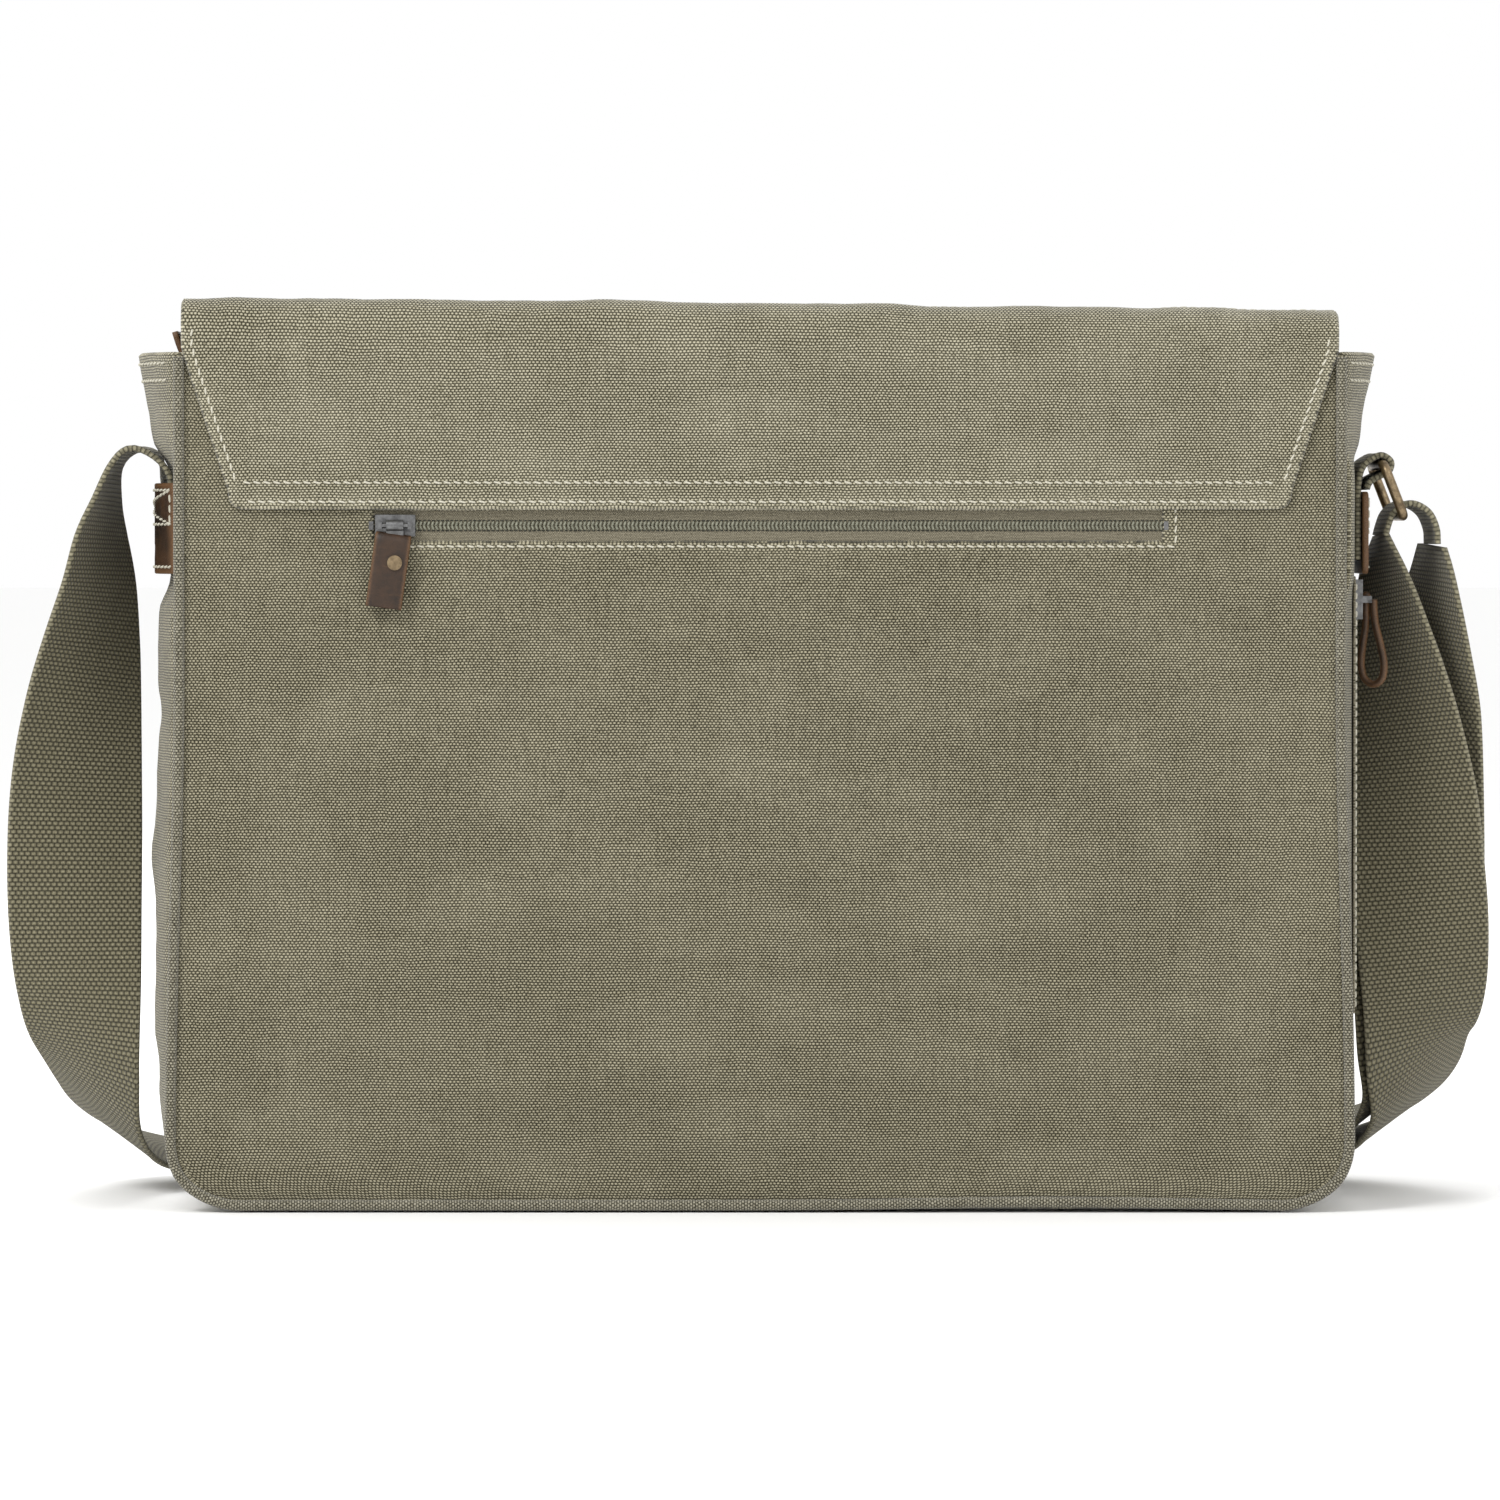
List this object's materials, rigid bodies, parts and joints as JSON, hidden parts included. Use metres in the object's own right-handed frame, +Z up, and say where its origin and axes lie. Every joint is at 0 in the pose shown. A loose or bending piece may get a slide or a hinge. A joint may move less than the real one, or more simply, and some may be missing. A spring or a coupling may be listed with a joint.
{
  "type": "messenger bag",
  "caption": "Canvas messenger bag with a wrap-over flap, zip pockets, leather trim and an adjustable webbing shoulder strap doubled through a metal ring.",
  "frame": {"origin": "centre of the base on the surface it stands on", "axes": "+Z up, the flap's front faces -Y, the pictured back faces +Y, +X is left as seen from behind"},
  "size_m": [0.5283, 0.1841, 0.3163],
  "materials": {
    "canvas": "washed cotton canvas, coarse plain weave, matt",
    "piping": "the same canvas, folded and darker along the seam",
    "lining": "plain cotton lining, matt",
    "webbing": "heavy cotton webbing, basket weave",
    "leather": "waxed pull-up leather, worn lighter along its edges",
    "antique_brass": "antique brass, satin",
    "dark_nickel": "dark nickel, satin",
    "zip_tape": "woven zip tape",
    "zip_coil": "nylon coil"
  },
  "bodies": {
    "bag": {"back_panel": "canvas", "front_panel": "canvas", "left_gusset": "canvas", "right_gusset": "canvas", "base_gusset": "canvas", "back_piping": "piping", "front_piping": "piping", "lining": "lining", "laptop_divider": "lining", "back_pocket_bag": "lining", "flap_yoke": "canvas", "snap_sockets": "antique_brass", "left_pocket": "canvas", "right_pocket": "canvas", "back_zip_tape": "zip_tape", "back_zip_coil": "zip_coil", "back_zip_stops": "dark_nickel", "zip_end_patch": "canvas", "zip_end_coil": "zip_coil", "zip_tail": "leather", "side_zip_tape": "zip_tape", "side_zip_coil": "zip_coil", "left_strap_tab": "leather", "right_ring_tab": "leather", "ring_loop": "webbing", "strap_main": "webbing", "strap_return": "webbing", "adjuster_frame": "antique_brass", "adjuster_bar": "antique_brass", "strap_end_fold": "webbing"},
    "flap_ridge": {"flap_ridge": "canvas"},
    "flap_top": {"flap_top": "canvas"},
    "flap_front": {"flap_front": "canvas", "left_closure_strap": "leather", "right_closure_strap": "leather", "closure_rivets": "antique_brass"},
    "left_tab": {"left_closure_tab": "leather", "left_snap_stud": "antique_brass"},
    "right_tab": {"right_closure_tab": "leather", "right_snap_stud": "antique_brass"},
    "back_slider": {"back_slider": "dark_nickel"},
    "back_pull": {"back_pull_link": "dark_nickel", "back_pull_tab": "leather", "back_pull_rivet": "antique_brass"},
    "rear_band": {"rear_zip_band": "canvas", "rear_zip_coil": "zip_coil"},
    "front_band": {"front_zip_band": "canvas", "front_zip_coil": "zip_coil"},
    "main_slider": {"main_slider": "dark_nickel"},
    "main_pull": {"main_pull_link": "dark_nickel", "main_pull_tab": "leather", "main_pull_rivet": "antique_brass"},
    "side_slider": {"side_slider": "dark_nickel"},
    "side_pull": {"side_pull_loop": "leather"},
    "ring": {"strap_ring": "antique_brass", "strap_fold": "webbing"}
  },
  "joints": [
    {"name": "flap_ridge_fold", "type": "hinge", "parent": "bag", "child": "flap_ridge", "pos_m": [0, 0.0563, 0.315], "axis": [-1, 0, 0], "range_deg": [0, 130]},
    {"name": "flap_top_fold", "type": "hinge", "parent": "flap_ridge", "child": "flap_top", "pos_m": [0, 0.03, 0.315], "axis": [-1, 0, 0], "range_deg": [0, 130]},
    {"name": "flap_front_fold", "type": "hinge", "parent": "flap_top", "child": "flap_front", "pos_m": [0, -0.055, 0.315], "axis": [-1, 0, 0], "range_deg": [0, 95]},
    {"name": "left_tab_lift", "type": "hinge", "parent": "flap_front", "child": "left_tab", "pos_m": [0.105, -0.0579, 0.098], "axis": [-1, 0, 0], "range_deg": [0, 60]},
    {"name": "right_tab_lift", "type": "hinge", "parent": "flap_front", "child": "right_tab", "pos_m": [-0.105, -0.0579, 0.098], "axis": [-1, 0, 0], "range_deg": [0, 60]},
    {"name": "back_zip_slide", "type": "slide", "parent": "bag", "child": "back_slider", "axis": [-1, 0, 0], "range_m": [0, 0.258]},
    {"name": "back_pull_swing", "type": "hinge", "parent": "back_slider", "child": "back_pull", "pos_m": [0.1275, 0.0594, 0.24], "axis": [1, 0, 0], "range_deg": [0, 60]},
    {"name": "rear_band_fold", "type": "hinge", "parent": "bag", "child": "rear_band", "pos_m": [0, 0.0506, 0.285], "axis": [1, 0, 0], "range_deg": [0, 75]},
    {"name": "front_band_fold", "type": "hinge", "parent": "bag", "child": "front_band", "pos_m": [0, -0.0326, 0.285], "axis": [-1, 0, 0], "range_deg": [0, 75]},
    {"name": "main_zip_slide", "type": "slide", "parent": "bag", "child": "main_slider", "axis": [1, 0, 0], "range_m": [0, 0.366]},
    {"name": "main_pull_swing", "type": "hinge", "parent": "main_slider", "child": "main_pull", "pos_m": [-0.184, 0.009, 0.2912], "axis": [1, 0, 0], "range_deg": [0, 45]},
    {"name": "side_zip_slide", "type": "slide", "parent": "bag", "child": "side_slider", "axis": [0, 0, -1], "range_m": [0, 0.134]},
    {"name": "side_pull_swing", "type": "hinge", "parent": "side_slider", "child": "side_pull", "pos_m": [-0.2149, 0.028, 0.214], "axis": [0, 1, 0], "range_deg": [0, 30]},
    {"name": "ring_swing", "type": "hinge", "parent": "bag", "child": "ring", "pos_m": [-0.2195, 0.01, 0.2615], "axis": [0, 1, 0], "range_deg": [0, 30]}
  ],
  "couplings": [
    {"joint": "front_band_fold", "follows": "rear_band_fold", "ratio": 1}
  ]
}
